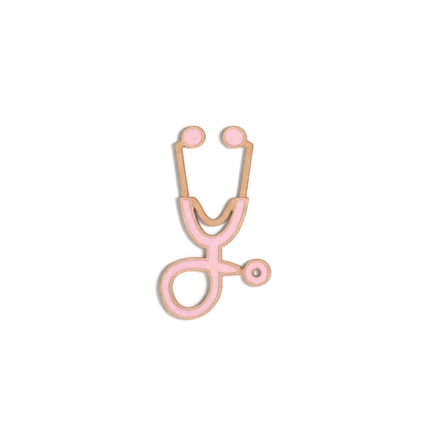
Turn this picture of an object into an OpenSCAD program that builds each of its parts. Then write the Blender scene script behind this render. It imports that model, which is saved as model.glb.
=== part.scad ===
// Stethoscope lapel pin: a die-struck metal body with soft enamel in its cells,
// two posts soldered behind the ear tips, and a ball-locking clutch on each post.
//
// Frame, in millimetres: X to the right and Z up as the pin is worn, Y from front to back.
// The back of the struck body lies at Y = 0, its front looks along -Y.
// The origin is on the back face, on the stem's axis, level with the branch tube.

/* [Ear tips and arms] */
// Distance between the centres of the two ear tips
tip_spacing = 9.4; // [8.6:0.1:12]
// Long axis of an ear tip's oval
tip_long = 5.5; // [5:0.1:7]
// Short axis of an ear tip's oval
tip_short = 5.05; // [4.8:0.05:6]
// How far each oval leans, its inner end up
tip_tilt = 15; // [0:1:40]
// Height of an ear tip's centre above the bend at the top of its arm
tip_rise = 1.9; // [1:0.1:3]
// Width of the bare metal arms
arm_w = 1.5; // [1:0.05:2]
// Distance between the bends at the top of the arms
shoulder_spacing = 16.3; // [14:0.1:20]
// Height of the bends above the top of the tubing
arm_height = 11.6; // [8:0.1:18]

/* [Tubing] */
// Distance between the two tops of the fork, centre to centre
fork_spacing = 12.9; // [11.6:0.1:15.5]
// Height of the fork's tops above the branch tube
fork_height = 15.9; // [14:0.1:19.1]
// Height of the bottom of the fork's curve above the branch tube, on the tube's axis
fork_base = 5.7; // [4.6:0.1:6.8]
// How far the bottom of the fork's curve lies left of the stem's axis
fork_lean = 0.35; // [0:0.05:0.5]
// Width of the fork's tubing at its tops, rims included
fork_w = 2.85; // [2.4:0.05:3.5]
// Width of the fork's tubing at the bottom of its curve, rims included
fork_base_w = 3.25; // [2.4:0.05:3.6]
// Width of the stem below the fork, rims included
stem_w = 3.5; // [2.9:0.05:4.2]
// Width of the loop, rims included
loop_w = 2.75; // [2.2:0.05:3.1]
// How far the loop reaches left of the stem, on the tube's axis
loop_span = 10.9; // [9:0.1:14]
// How far the loop hangs below the branch tube, on the tube's axis
loop_drop = 10.45; // [8.8:0.05:13]
// How far the branch tube reaches right of the stem
branch_reach = 5.95; // [5:0.05:8]
// Width of the branch tube where it crosses the stem, rims included
branch_w = 3.2; // [2.8:0.05:3.8]
// Width of the branch tube's end, rims included
branch_end_w = 2.0; // [1.7:0.05:2.4]
// How far the branch tube's end sinks below its start
branch_sag = 0.6; // [0.3:0.05:0.8]

/* [Yoke spring and chest piece] */
// Width of the bare metal spring between the fork's tops, where it meets them
yoke_w = 1.3; // [1:0.05:1.9]
// Width of the spring at its lowest point
yoke_base_w = 1.6; // [1:0.05:1.9]
// Height of the spring's lowest point above the branch tube, on its centre line
yoke_base = 10.1; // [9.6:0.1:11]
// Outer diameter of the chest piece
chest_d = 6.3; // [5:0.1:8]
// Height of the chest piece's centre, relative to the branch tube
chest_z = -1.1; // [-1.4:0.1:-0.7]
// Length of the bare neck between the branch tube and the chest piece
neck_l = 0.7; // [0.4:0.1:1.5]
// Height of the neck
neck_w = 1.5; // [1:0.05:1.8]
// Diameter of the hole through the chest piece
chest_hole_d = 1.7; // [1:0.1:1.8]
// Width of the rim around that hole
hole_rim_w = 0.35; // [0.25:0.05:0.5]

/* [Metal and enamel] */
// Thickness of the struck body, back to the top of the rims
body_t = 1.8; // [1.5:0.05:2.6]
// Width of the raised rims around the enamel
rim_w = 0.65; // [0.35:0.05:0.75]
// How far the bare arms, spring and neck lie below the rims
bare_drop = 0.2; // [0.05:0.05:0.4]
// Depth of the enamel cells below the rims
cell_depth = 0.5; // [0.3:0.05:0.8]
// How far the enamel lies below the rims
enamel_drop = 0.12; // [0.02:0.02:0.25]
// Radius in the outline's inside corners
corner_r = 0.15; // [0.05:0.05:0.3]
// Radius in the corners of the tubing's enamel cell
cell_corner_r = 0.2; // [0.05:0.05:0.3]

/* [Posts] */
// Diameter of a post
post_d = 0.9; // [0.7:0.05:1.2]
// Length of a post behind the back face
post_l = 6.2; // [5.2:0.1:7.5]
// Length of a post's point
point_l = 0.9; // [0.5:0.1:1.4]
// Diameter of the flat at the end of the point
point_d = 0.16; // [0.1:0.02:0.3]
// Diameter of the pad at the foot of a post
pad_d = 2.2; // [1.8:0.1:2.6]
// Depth of the recess that the pad is soldered into
recess_depth = 0.3; // [0.2:0.05:0.4]
// Width of the solder between the pad and the wall of the recess
solder_w = 0.35; // [0.2:0.05:0.5]
// Height of the solder where it climbs the post
solder_h = 0.3; // [0.2:0.05:0.6]

/* [Clutches] */
// Room for cloth between the back face and a clutch
cloth_gap = 2.1; // [2.1:0.1:3]
// Least room for cloth, with a clutch pushed home
cloth_least = 0.3; // [0.2:0.1:1]
// Diameter of a locking ball
ball_d = 0.8; // [0.6:0.01:0.96]
// Number of locking balls in a clutch
ball_n = 3; // [2:1:3]
// Half angle of the cone that the balls wedge in
cone_angle = 14; // [11:1:18]
// Length of the lock spring at rest
spring_l = 1.8; // [1.7:0.1:2.4]
// Diameter of the lock spring's wire
wire_d = 0.2; // [0.15:0.01:0.22]
// Number of turns in the lock spring
spring_turns = 4; // [3:1:4]
// Wall of a clutch's case
case_wall = 0.4; // [0.3:0.05:0.5]
// Thickness of the case's front wall
floor_t = 0.4; // [0.3:0.05:0.6]
// How far the front lip stands out past the case
lip_w = 0.2; // [0.1:0.05:0.3]
// Thickness of the ring that closes the case
ring_t = 0.4; // [0.3:0.05:0.6]
// Metal of the ball cage in front of its pockets, and behind them
pocket_wall = 0.25; // [0.2:0.05:0.4]
// Thickness of the cage's shoulder, which the spring pushes on
shoulder_t = 0.3; // [0.2:0.05:0.4]
// Wall of the ball cage's stem
stem_wall = 0.25; // [0.2:0.05:0.35]
// Depth that the stem reaches into the pull knob
stem_grip = 0.8; // [0.5:0.1:1]
// Radius of the pull knob's finger flange
knob_r = 1.85; // [1.5:0.05:2.2]
// How far the knob's waist lies inside its flange
knob_waist = 0.45; // [0.3:0.05:0.6]
// Thickness of the knob's finger flange
flange_t = 0.75; // [0.6:0.05:1]
// Thickness of the knob behind the post's point
knob_wall = 0.6; // [0.4:0.1:1]

/* [Fits] */
// Gap between enamel and the wall of its cell
enamel_gap = 0.01; // [0.005:0.005:0.03]
// Gap beside the seats of parts that are soldered or pressed together
seat_gap = 0.01; // [0.005:0.005:0.03]
// Radial clearance of a clutch on its post
slide_gap = 0.06; // [0.04:0.01:0.1]
// Radial clearance of the cage's stem in the closing ring
stem_gap = 0.06; // [0.04:0.01:0.1]
// Gap around each locking ball
ball_gap = 0.02; // [0.01:0.01:0.04]
// Room between a clutch's case and its knob at rest
knob_gap = 0.15; // [0.1:0.05:0.4]
// Room around the cage inside the case
cage_gap = 0.1; // [0.08:0.01:0.2]
// Room between the post's point and the knob, with a clutch pushed home
point_gap = 0.15; // [0.1:0.05:0.4]

/* [Hidden] */
$fn = 64;

ROSE_GOLD = "#d9a27c";
ENAMEL_PINK = "#f6c6cc";
NICKEL = "#c9c9c6";
BRASS = "#c8a968";
SOLDER_GREY = "#9c9a94";
STEEL = "#8f9296";
LEFT = -1;
RIGHT = 1;
OVERCUT = 0.1; // how far a cut runs past the face that it opens
STEP_GAP = 0.01; // how far the step down to bare metal stays off the rims' own walls

// ---- curves ----

function bezier(a, b, c, d, steps) =
    [for (i = [0:steps]) let (t = i / steps, s = 1 - t)
        s * s * s * a + 3 * s * s * t * b + 3 * s * t * t * c + t * t * t * d];

// A smooth curve through a list of points: each stretch leaves its point along its neighbours' chord.
function through(points, steps) =
    let (last = len(points) - 1)
    [for (k = [0:last - 1])
        let (a = points[k], d = points[k + 1],
             before = points[max(k - 1, 0)], after = points[min(k + 2, last)],
             stretch = bezier(a, a + (d - before) / 6, d - (after - a) / 6, d, steps))
        for (i = [0:k == last - 1 ? steps : steps - 1]) stretch[i]];

// A path and its mirror image in the stem's axis, joined at the path's end on that axis.
function both_sides(half) =
    concat(half, [for (i = [len(half) - 2:-1:0]) [-half[i][0], half[i][1]]]);

function sideways(path, i) =
    let (d = path[min(i + 1, len(path) - 1)] - path[max(i - 1, 0)])
    [-d[1], d[0]] / norm(d);

// The stretch of a band along a path from one point to another, with a width for each point.
module band(path, widths, first, last) {
    polygon(concat([for (i = [first:last]) path[i] + sideways(path, i) * widths[i] / 2],
                   [for (i = [last:-1:first]) path[i] - sideways(path, i) * widths[i] / 2]));
}

module even_band(path, width) {
    band(path, [for (p = path) width], 0, len(path) - 1);
}

// A piece cut from sheet in the plane of the pin, between two heights above the back face.
module sheet(from, to) {
    translate([0, -from, 0]) rotate([90, 0, 0]) linear_extrude(to - from) children();
}

// Turns a piece that is drawn along +Z so that it points out of the back of the pin at a place.
module behind(place) {
    translate([place[0], 0, place[1]]) rotate([-90, 0, 0]) children();
}

// ---- routes and places ----

CURVE_STEPS = 5;
FORK_STEPS = 16;
fork_x = fork_spacing / 2;
shoulder = [shoulder_spacing / 2, fork_height + arm_height];
tip = [tip_spacing / 2, shoulder[1] + tip_rise];
fork_top = fork_height + fork_w / 4; // the fork is drawn past its tops and cut level

function fork_half(side) =
    bezier([side * (fork_x + 0.07), fork_top], [side * (fork_x - 0.45), fork_height - 5],
           [side * fork_x * 0.6 - fork_lean, fork_base], [-fork_lean, fork_base], FORK_STEPS);
fork_path = concat(fork_half(LEFT), [for (i = [FORK_STEPS - 1:-1:0]) fork_half(RIGHT)[i]]);
fork_widths = [for (i = [0:2 * FORK_STEPS])
    fork_base_w + (fork_w - fork_base_w) * abs(i / FORK_STEPS - 1)];

yoke_fall = fork_height - yoke_base;
yoke_half = through([[fork_x - 0.5, fork_height - 0.7],
                     [fork_x - 1.65, fork_height - 0.7],
                     [fork_x * 0.62, fork_height - 0.27 * yoke_fall],
                     [fork_x * 0.51, fork_height - 0.5 * yoke_fall],
                     [fork_x * 0.37, fork_height - 0.77 * yoke_fall],
                     [fork_x * 0.19, fork_height - 0.95 * yoke_fall],
                     [0, yoke_base]], CURVE_STEPS);
yoke_path = both_sides(yoke_half);
yoke_last = len(yoke_path) - 1;
yoke_widths = [for (i = [0:yoke_last]) yoke_base_w + (yoke_w - yoke_base_w) * abs(2 * i / yoke_last - 1)];

// The long tube: down the stem, round the loop, and back across the stem as the branch.
function loop_at(x, z) = [x * loop_span, z * loop_drop];
function tube_points(inset) =
    [[0, fork_base], [0, fork_base / 2], [0.1, 0], loop_at(0.04, -0.25), loop_at(0.03, -0.5),
     loop_at(-0.08, -0.74), loop_at(-0.28, -0.93), loop_at(-0.55, -1), loop_at(-0.81, -0.9),
     loop_at(-0.96, -0.66), loop_at(-1, -0.38), loop_at(-0.88, -0.1), loop_at(-0.6, 0.05),
     loop_at(-0.3, 0.07), [0, branch_sag / 2], [branch_reach / 2, -branch_sag / 3],
     [branch_reach - inset, -branch_sag]];
STEM_END = 2;      // the last of these points that has the stem's width
LOOP_TURN = 10;    // the one farthest from the stem, where the outline is drawn in two stretches
CROSSING = 14;     // the one where the branch crosses the stem
tube_last = len(tube_points(0)) - 1;
point_widths = [for (i = [0:tube_last])
    i <= STEM_END ? stem_w : i < tube_last
        ? loop_w + (branch_w - loop_w) * min(max(i - LOOP_TURN, 0) / (CROSSING - LOOP_TURN), 1)
        : branch_end_w];
tube_widths = [for (w = through([for (w = point_widths) [w, 0]], CURVE_STEPS)) w[0]];
TURN_INDEX = LOOP_TURN * CURVE_STEPS;

chest = [branch_reach + neck_l + chest_d / 2, chest_z];

// ---- outlines ----

function oval(centre, tilt, along, across) =
    [for (a = [0:9:351])
        centre + [along * cos(a) * cos(tilt) - across * sin(a) * sin(tilt),
                  along * cos(a) * sin(tilt) + across * sin(a) * cos(tilt)]];

// One ear tip's oval, smaller all round by an inset.
module tip_outline(side, inset) {
    polygon(oval([side * tip[0], tip[1]], -side * tip_tilt, tip_long / 2 - inset, tip_short / 2 - inset));
}

// Fork, stem, loop and branch as one outline, smaller all round by an inset.
module tubing_outline(inset) {
    path = through(tube_points(inset), CURVE_STEPS);
    widths = [for (w = tube_widths) w - 2 * inset];
    difference() {
        band(fork_path, [for (w = fork_widths) w - 2 * inset], 0, 2 * FORK_STEPS);
        translate([-fork_spacing, fork_height - inset]) square([2 * fork_spacing, fork_w]);
    }
    band(path, widths, 0, TURN_INDEX);
    band(path, widths, TURN_INDEX, len(path) - 1);
}

module arm_outline(side) {
    corner = [side * shoulder[0], shoulder[1]];
    even_band([[side * fork_x, fork_height - rim_w / 2], corner], arm_w);
    even_band([corner, [side * tip[0], tip[1]]], arm_w);
    translate(corner) circle(arm_w / 2, $fn = 24);
}

module bare_outline() {
    for (side = [LEFT, RIGHT]) arm_outline(side);
    band(yoke_path, yoke_widths, 0, yoke_last);
    even_band([[branch_reach - rim_w / 2, (chest_z - branch_sag) / 2], chest], neck_w);
}

module rimmed_outline() {
    for (side = [LEFT, RIGHT]) tip_outline(side, 0);
    tubing_outline(0);
    translate(chest) circle(chest_d / 2);
}

// Fills the inside corners of an outline to a radius.
module filled_corners(r) {
    offset(r = -r, $fn = 24) offset(delta = r) children();
}

// Rounds the outside corners of an outline to a radius.
module blunt_corners(r) {
    offset(r = r, $fn = 24) offset(delta = -r) children();
}

// The tubing's enamel, or the cell that holds it, with a gap from the cell's wall.
module tubing_cell(gap) {
    filled_corners(cell_corner_r / 2) blunt_corners(cell_corner_r) tubing_outline(rim_w + gap);
}

module chest_ring(gap, h) {
    difference() {
        cylinder(r = chest_d / 2 - rim_w - gap, h = h);
        translate([0, 0, -OVERCUT]) cylinder(r = chest_hole_d / 2 + hole_rim_w + gap, h = h + 2 * OVERCUT);
    }
}

// ---- struck body and enamel ----

cell_floor = body_t - cell_depth;
enamel_top = body_t - enamel_drop;

module struck_body() {
    color(ROSE_GOLD) difference() {
        sheet(0, body_t) filled_corners(corner_r) {
            bare_outline();
            rimmed_outline();
        }
        sheet(body_t - bare_drop, body_t + OVERCUT) offset(delta = -STEP_GAP) difference() {
            offset(delta = OVERCUT) bare_outline();
            rimmed_outline();
        }
        sheet(cell_floor, body_t + OVERCUT) tubing_cell(0);
        for (side = [LEFT, RIGHT]) {
            sheet(cell_floor, body_t + OVERCUT) tip_outline(side, rim_w);
            behind([side * tip[0], tip[1]]) translate([0, 0, -recess_depth])
                cylinder(r = recess_r, h = recess_depth + OVERCUT);
        }
        behind(chest) translate([0, 0, -body_t - OVERCUT]) {
            chest_ring(0, cell_depth + OVERCUT);
            cylinder(d = chest_hole_d, h = body_t + 2 * OVERCUT);
        }
    }
}

module enamel_tip(side) {
    color(ENAMEL_PINK) sheet(cell_floor, enamel_top) tip_outline(side, rim_w + enamel_gap);
}

module enamel_tubing() {
    color(ENAMEL_PINK) sheet(cell_floor, enamel_top) tubing_cell(enamel_gap);
}

module enamel_chest_piece() {
    color(ENAMEL_PINK) behind(chest) translate([0, 0, -enamel_top])
        chest_ring(enamel_gap, enamel_top - cell_floor);
}

// ---- posts ----

post_r = post_d / 2;
pad_r = pad_d / 2;
recess_r = pad_r + solder_w;

module post(side) {
    color(BRASS) behind([side * tip[0], tip[1]]) rotate_extrude()
        polygon([[0, -recess_depth], [pad_r, -recess_depth], [pad_r, 0], [post_r, 0],
                 [post_r, post_l - point_l], [point_d / 2, post_l], [0, post_l]]);
}

module solder(side) {
    inner = post_r + seat_gap;
    outer = recess_r - seat_gap;
    color(SOLDER_GREY) behind([side * tip[0], tip[1]]) rotate_extrude()
        polygon(concat([[inner, 0], [pad_r + seat_gap, 0], [pad_r + seat_gap, -recess_depth],
                        [outer, -recess_depth]],
                       [for (a = [0:15:90]) [outer - (outer - inner) * sin(a), solder_h * (1 - cos(a))]]));
}

// ---- clutches: heights are measured from the clutch's front face ----

ball_r = ball_d / 2;
ball_orbit = post_r + ball_r + ball_gap;
nose_z = floor_t + cage_gap;
ball_z = nose_z + pocket_wall + ball_r;
nose_r = ball_orbit + ball_r / 4;
cone_slope = tan(cone_angle);
cone_at_balls = ball_orbit + (ball_r + ball_gap) / cos(cone_angle);
function cone_r(z) = cone_at_balls + (z - ball_z) * cone_slope;
shoulder_z = ball_z + ball_r + pocket_wall;
shoulder_r = cone_r(shoulder_z) - cage_gap;
chamber_r = shoulder_r + 1.5 * cage_gap;
cone_end_z = ball_z + (chamber_r - cone_at_balls) / cone_slope;
spring_z = shoulder_z + shoulder_t;
ring_z = spring_z + spring_l;
case_l = ring_z + ring_t;
case_r = chamber_r + case_wall;
ring_r = chamber_r + case_wall / 2;
lip_r = case_r + lip_w;
edge = 0.1; // chamfer on the turned parts' outside edges
case_bore = post_r + slide_gap;
stem_r = case_bore + stem_wall;
knob_z = case_l + knob_gap;
stem_end = knob_z + stem_grip;
cavity_end = max(stem_end, post_l - cloth_least) + point_gap;
knob_end = cavity_end + knob_wall;

module clutch(side) {
    behind([side * tip[0], tip[1]]) translate([0, 0, cloth_gap]) children();
}

module clutch_case(side) {
    color(NICKEL) clutch(side) rotate_extrude()
        polygon([[case_bore, 0], [lip_r - edge, 0], [lip_r, edge], [lip_r, floor_t - edge],
                 [lip_r - edge, floor_t], [case_r, floor_t + edge], [case_r, case_l - edge],
                 [case_r - edge, case_l], [ring_r, case_l], [ring_r, ring_z], [chamber_r, ring_z],
                 [chamber_r, cone_end_z], [cone_r(floor_t), floor_t], [case_bore, floor_t]]);
}

module end_ring(side) {
    color(NICKEL) clutch(side) translate([0, 0, ring_z]) difference() {
        cylinder(r = ring_r - seat_gap, h = ring_t);
        translate([0, 0, -OVERCUT]) cylinder(r = stem_r + stem_gap, h = ring_t + 2 * OVERCUT);
    }
}

module ball_cage(side) {
    color(BRASS) clutch(side) difference() {
        rotate_extrude()
            polygon([[case_bore, nose_z], [nose_r, nose_z], [nose_r, shoulder_z], [shoulder_r, shoulder_z],
                     [shoulder_r, spring_z], [stem_r, spring_z], [stem_r, stem_end], [case_bore, stem_end]]);
        for (i = [0:ball_n - 1])
            rotate([0, 0, 360 * i / ball_n]) translate([0, 0, ball_z]) rotate([0, 90, 0])
                cylinder(r = ball_r + ball_gap, h = nose_r + OVERCUT);
    }
}

module lock_balls(side) {
    color(STEEL) clutch(side) for (i = [0:ball_n - 1])
        rotate([0, 0, 360 * i / ball_n]) translate([ball_orbit, 0, ball_z]) sphere(ball_r);
}

// The spring's wire: a flat turn at each end and a steady climb between them.
WIRE_SIDES = 8;
TURN_STEPS = 16;
module lock_spring(side) {
    orbit = (stem_r + chamber_r) / 2;
    low = spring_z + wire_d / 2 + seat_gap;
    climb = spring_l - wire_d - 2 * seat_gap;
    last = spring_turns * TURN_STEPS;
    rings = [for (i = [0:last])
        let (turn = 360 * i / TURN_STEPS,
             done = min(max((i / TURN_STEPS - 0.75) / (spring_turns - 1.5), 0), 1))
        for (k = [0:WIRE_SIDES - 1])
            let (a = 360 * k / WIRE_SIDES, r = orbit + wire_d / 2 * cos(a))
            [r * cos(turn), r * sin(turn), low + climb * done + wire_d / 2 * sin(a)]];
    sides = [for (i = [0:last - 1], k = [0:WIRE_SIDES - 1])
        let (a = i * WIRE_SIDES + k, b = i * WIRE_SIDES + (k + 1) % WIRE_SIDES)
        each [[a, b, b + WIRE_SIDES], [a, b + WIRE_SIDES, a + WIRE_SIDES]]];
    ends = [[for (k = [WIRE_SIDES - 1:-1:0]) k], [for (k = [0:WIRE_SIDES - 1]) last * WIRE_SIDES + k]];
    color(STEEL) clutch(side) polyhedron(rings, concat(sides, ends), convexity = 8);
}

// Turned knob: a front collar, a waist that follows a cosine, and a domed finger flange.
module pull_knob(side) {
    length = knob_end - knob_z;
    collar_r = knob_r - edge;
    collar_l = 3.5 * edge;
    waist_l = length - flange_t - collar_l;
    dome = 0.6 * flange_t;
    socket_r = stem_r + seat_gap;
    cavity_r = post_r + point_gap;
    color(NICKEL) clutch(side) translate([0, 0, knob_z]) rotate_extrude()
        polygon(concat([[socket_r, 0], [collar_r - edge, 0], [collar_r, edge]],
                       [for (a = [0:30:180]) [collar_r - knob_waist * pow(sin(a), 2),
                                              collar_l + (waist_l - edge) * a / 180]],
                       [[knob_r, length - flange_t]],
                       [for (a = [0:15:90]) [knob_r * cos(a), length - dome + dome * sin(a)]],
                       [[0, cavity_end - knob_z], [cavity_r, cavity_end - knob_z],
                        [cavity_r, stem_grip], [socket_r, stem_grip]]));
}

struck_body();
enamel_tip(LEFT);  // enamel_tip_left
enamel_tip(RIGHT);  // enamel_tip_right
enamel_tubing();
enamel_chest_piece();
post(LEFT);  // post_left
post(RIGHT);  // post_right
solder(LEFT);  // solder_left
solder(RIGHT);  // solder_right
clutch_case(LEFT);  // clutch_case_left
clutch_case(RIGHT);  // clutch_case_right
end_ring(LEFT);  // end_ring_left
end_ring(RIGHT);  // end_ring_right
ball_cage(LEFT);  // ball_cage_left
ball_cage(RIGHT);  // ball_cage_right
lock_balls(LEFT);  // lock_balls_left
lock_balls(RIGHT);  // lock_balls_right
lock_spring(LEFT);  // lock_spring_left
lock_spring(RIGHT);  // lock_spring_right
pull_knob(LEFT);  // pull_knob_left
pull_knob(RIGHT);  // pull_knob_right
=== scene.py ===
"""Looks of a flat enamel lapel pin in the shape of a stethoscope, made round its CAD frame.

Shapes are worked out in millimetres, in the frame's own axes: X to the right, Z up, Y from the
front of the pin to its back. They are turned into metres when they are put into a mesh.
"""
import math

import bpy
import numpy as np
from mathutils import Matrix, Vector
from mathutils.geometry import delaunay_2d_cdt


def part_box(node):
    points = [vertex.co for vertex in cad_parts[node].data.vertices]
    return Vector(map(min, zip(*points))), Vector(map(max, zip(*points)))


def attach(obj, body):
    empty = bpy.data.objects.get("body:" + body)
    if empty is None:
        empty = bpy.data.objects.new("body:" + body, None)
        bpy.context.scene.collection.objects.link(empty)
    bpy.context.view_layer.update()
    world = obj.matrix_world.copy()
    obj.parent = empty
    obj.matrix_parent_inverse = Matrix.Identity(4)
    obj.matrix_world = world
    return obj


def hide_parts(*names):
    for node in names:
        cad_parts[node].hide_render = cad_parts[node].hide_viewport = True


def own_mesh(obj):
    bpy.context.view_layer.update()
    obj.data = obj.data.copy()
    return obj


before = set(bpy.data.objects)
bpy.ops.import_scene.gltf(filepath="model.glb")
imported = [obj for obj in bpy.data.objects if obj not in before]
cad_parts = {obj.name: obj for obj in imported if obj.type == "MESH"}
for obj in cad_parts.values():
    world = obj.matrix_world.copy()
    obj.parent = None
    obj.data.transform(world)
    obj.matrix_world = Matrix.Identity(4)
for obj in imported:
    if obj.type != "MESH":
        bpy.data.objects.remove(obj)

MM = 0.001
SIDES = ("left", "right")
SAME_LEVEL = 1e-3    # levels closer than this are one
LEAST_EDGE = 0.008   # shorter edges of a CAD outline are passed over
STEP = 0.12          # spacing of points along an outline
SHARP = math.radians(25)    # an outline's corner that turns more than this stays a corner
CREASE = math.radians(40)   # an edge of a mesh that turns more than this is shaded sharp
TILE = 2.0           # side of the squares in which near edges are looked up together
REACH = 1.0          # distances are measured this far
LEAST_GAP = 0.008    # a sheet's inner points stay this clear of its outline
SQUARE = 0.012       # and are thinned to one in each square of this side
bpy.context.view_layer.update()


# ---- Reading shapes from the CAD frame ----

def welded(node):
    """A CAD node's points, each once and in millimetres, and its triangles."""
    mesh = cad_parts[node].data
    co = np.empty(3 * len(mesh.vertices), np.float32)
    mesh.vertices.foreach_get("co", co)
    corners = np.empty(len(mesh.loops), np.int32)
    mesh.loops.foreach_get("vertex_index", corners)
    points, index = np.unique(np.round(co.reshape(-1, 3) / MM, 4), axis=0, return_inverse=True)
    return points, index.ravel()[corners].reshape(-1, 3)


def chained(edges):
    """Puts directed edges in order, one array of points for each closed loop.

    Pointers are doubled: in log2(n) passes every point learns the lowest point of its loop,
    and then how many steps it lies before that point.
    """
    names, index = np.unique(edges, return_inverse=True)
    start, end = index.reshape(-1, 2).T
    own = np.arange(len(names))
    after = np.empty_like(own)
    after[start] = end
    passes = range(int(math.log2(len(names))) + 1)
    lowest, hop = own, after
    for _ in passes:
        lowest = np.minimum(lowest, lowest[hop])
        hop = hop[hop]
    home = lowest == own
    steps, hop = np.where(home, 0, 1), np.where(home, own, after)
    for _ in passes:
        steps = steps + steps[hop]
        hop = hop[hop]
    loops = []
    for low in own[home]:
        members = own[lowest == low]
        loops.append(names[members[np.argsort(-steps[members] % len(members))]])
    return loops


def level_loops(node, level):
    """Outlines, in plan (X, Z), of a node's flat faces at Y = level, with the metal on their left.

    They are the directed edges that belong to one triangle of that level only. Seen from the front,
    a face that looks backwards runs the other way round, so its outlines are turned about. Points
    that start an edge too short to see are left out.
    """
    points, triangles = welded(node)
    flat = triangles[np.abs(points[triangles][:, :, 1] - level).max(1) < SAME_LEVEL]
    edges = np.concatenate([flat[:, [0, 1]], flat[:, [1, 2]], flat[:, [2, 0]]])
    code = edges @ [len(points), 1]
    lone = edges[~np.isin(code, edges @ [1, len(points)])]
    a, b, c = np.moveaxis(points[flat[0]], 0, 0)
    looks_back = np.cross(b - a, c - a)[1] > 0
    loops = [points[loop][::-1 if looks_back else 1][:, [0, 2]] for loop in chained(lone)]
    lengths = [np.linalg.norm(np.roll(loop, -1, 0) - loop, axis=1) for loop in loops]
    return [flowing(loop[length > LEAST_EDGE]) for loop, length in zip(loops, lengths)]


def radii_at(node, level, axis):
    """Radii about a post's axis of a turned node's points at one level, smallest first."""
    points, _ = welded(node)
    ring = points[np.abs(points[:, 1] - level) < SAME_LEVEL]
    return np.unique(np.round(np.hypot(ring[:, 0] - axis[0], ring[:, 2] - axis[1]), 2))


def span(node):
    """A CAD node's lowest and highest corners, in millimetres."""
    low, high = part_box(node)
    return np.array(low) / MM, np.array(high) / MM


# ---- Plane geometry on whole arrays ----

def segments(loops):
    """Start and end points of every edge of some closed loops."""
    return np.concatenate(loops), np.concatenate([np.roll(loop, -1, 0) for loop in loops])


def tiles(points):
    """The indices of the points in each square tile of the plan, with the tile's lower corner."""
    cell = np.floor(points / TILE).astype(int)
    order = np.lexsort(cell.T)
    cuts = np.flatnonzero((cell[order][1:] != cell[order][:-1]).any(1)) + 1
    for here in np.split(order, cuts):
        yield here, cell[here[0]] * TILE


def distance(points, edges):
    """Distance from each point to the nearest edge, or REACH where none is that near.

    A point is dropped on each edge near its tile, and held to the edge's ends.
    """
    start, end = edges
    low, high = np.minimum(start, end) - REACH, np.maximum(start, end) + REACH
    result = np.full(len(points), REACH)
    for here, corner in tiles(points):
        near = ((high > corner) & (low < corner + TILE)).all(1)
        along = end[near] - start[near]
        away = points[here, None] - start[near]
        share = np.clip((away * along).sum(2) / (along ** 2).sum(1), 0, 1)
        gap = ((away - share[..., None] * along) ** 2).sum(2)
        result[here] = np.sqrt(gap.min(1, initial=REACH ** 2))
    return result


def inside(points, edges):
    """Whether each point has an odd number of edges to its right."""
    start, end = edges
    low, high = np.minimum(start, end)[:, 1], np.maximum(start, end)[:, 1]
    result = np.zeros(len(points), bool)
    for here, corner in tiles(points):
        near = (high > corner[1]) & (low < corner[1] + TILE)
        (x0, z0), (x1, z1) = start[near].T, end[near].T
        x, z = points[here].T[:, :, None]
        crosses = (z0 > z) != (z1 > z)
        at = x0 + (z - z0) * (x1 - x0) / np.where(crosses, z1 - z0, 1)
        result[here] = (crosses & (at > x)).sum(1) % 2 == 1
    return result


def flowing(loop):
    """The loop with its gentle corners smoothed away, and a point at least every STEP.

    Each edge becomes a cubic curve. Its handles lie along the mean direction of the edges that meet at its
    ends, a third as long as the shorter of the two; at a sharp corner they lie along the edge itself.
    """
    after = np.roll(loop, -1, 0)
    length = np.linalg.norm(after - loop, axis=1)
    leaving = (after - loop) / length[:, None]
    arriving = np.roll(leaving, 1, 0)
    mean = (leaving + arriving) / np.linalg.norm(leaving + arriving, axis=1)[:, None]
    gentle = ((leaving * arriving).sum(1) > math.cos(SHARP))[:, None]
    handle = np.minimum(length, np.roll(length, 1))[:, None] / 3
    first = loop + np.where(gentle, mean, leaving) * handle
    second = after - np.roll(np.where(gentle, mean, arriving) * handle, -1, 0)
    pieces = np.ceil(length / STEP).astype(int)
    edge = np.repeat(np.arange(len(loop)), pieces)
    t = ((np.arange(len(edge)) - np.repeat(np.cumsum(pieces) - pieces, pieces)) / pieces[edge])[:, None]
    return ((1 - t) ** 3 * loop[edge] + 3 * (1 - t) ** 2 * t * first[edge]
            + 3 * (1 - t) * t ** 2 * second[edge] + t ** 3 * after[edge])


def shifted(loop, offset):
    """The loop moved to its left by an offset, each point along the sum of its two edges' normals.

    The move is the offset over the sum's share along one normal, which is held up so that a sharp
    corner's point doesn't run off.
    """
    least_share = 0.4
    along = np.roll(loop, -1, 0) - loop
    normal = np.stack([-along[:, 1], along[:, 0]], 1) / np.linalg.norm(along, axis=1)[:, None]
    total = normal + np.roll(normal, 1, 0)
    return loop + offset * total / np.maximum((total * normal).sum(1), least_share)[:, None]


# ---- Making meshes ----

def signed_volume(mesh):
    """Six times the volume inside a mesh, from its triangles' triple products. Below 0 it is inside out."""
    mesh.calc_loop_triangles()
    co = np.empty(3 * len(mesh.vertices), np.float32)
    mesh.vertices.foreach_get("co", co)
    corners = np.empty(3 * len(mesh.loop_triangles), np.int32)
    mesh.loop_triangles.foreach_get("vertices", corners)
    a, b, c = np.moveaxis(co.reshape(-1, 3).astype(float)[corners.reshape(-1, 3)], 1, 0)
    return (a * np.cross(b, c)).sum()


def make_piece(name, points, faces, marks=None):
    """A mesh object from points in millimetres; marks are named values, one for each point."""
    mesh = bpy.data.meshes.new(name)
    mesh.from_pydata((np.asarray(points) * MM).tolist(), [], [np.asarray(f).tolist() for f in faces])
    for label, values in (marks or {}).items():
        mesh.attributes.new(label, "FLOAT", "POINT").data.foreach_set("value", values.astype(np.float32))
    mesh.polygons.foreach_set("use_smooth", np.ones(len(mesh.polygons), bool))
    mesh.set_sharp_from_angle(angle=CREASE)
    mesh.validate()
    if signed_volume(mesh) < 0:
        mesh.flip_normals()
    piece = bpy.data.objects.new(name, mesh)
    bpy.context.scene.collection.objects.link(piece)
    return piece


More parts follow.
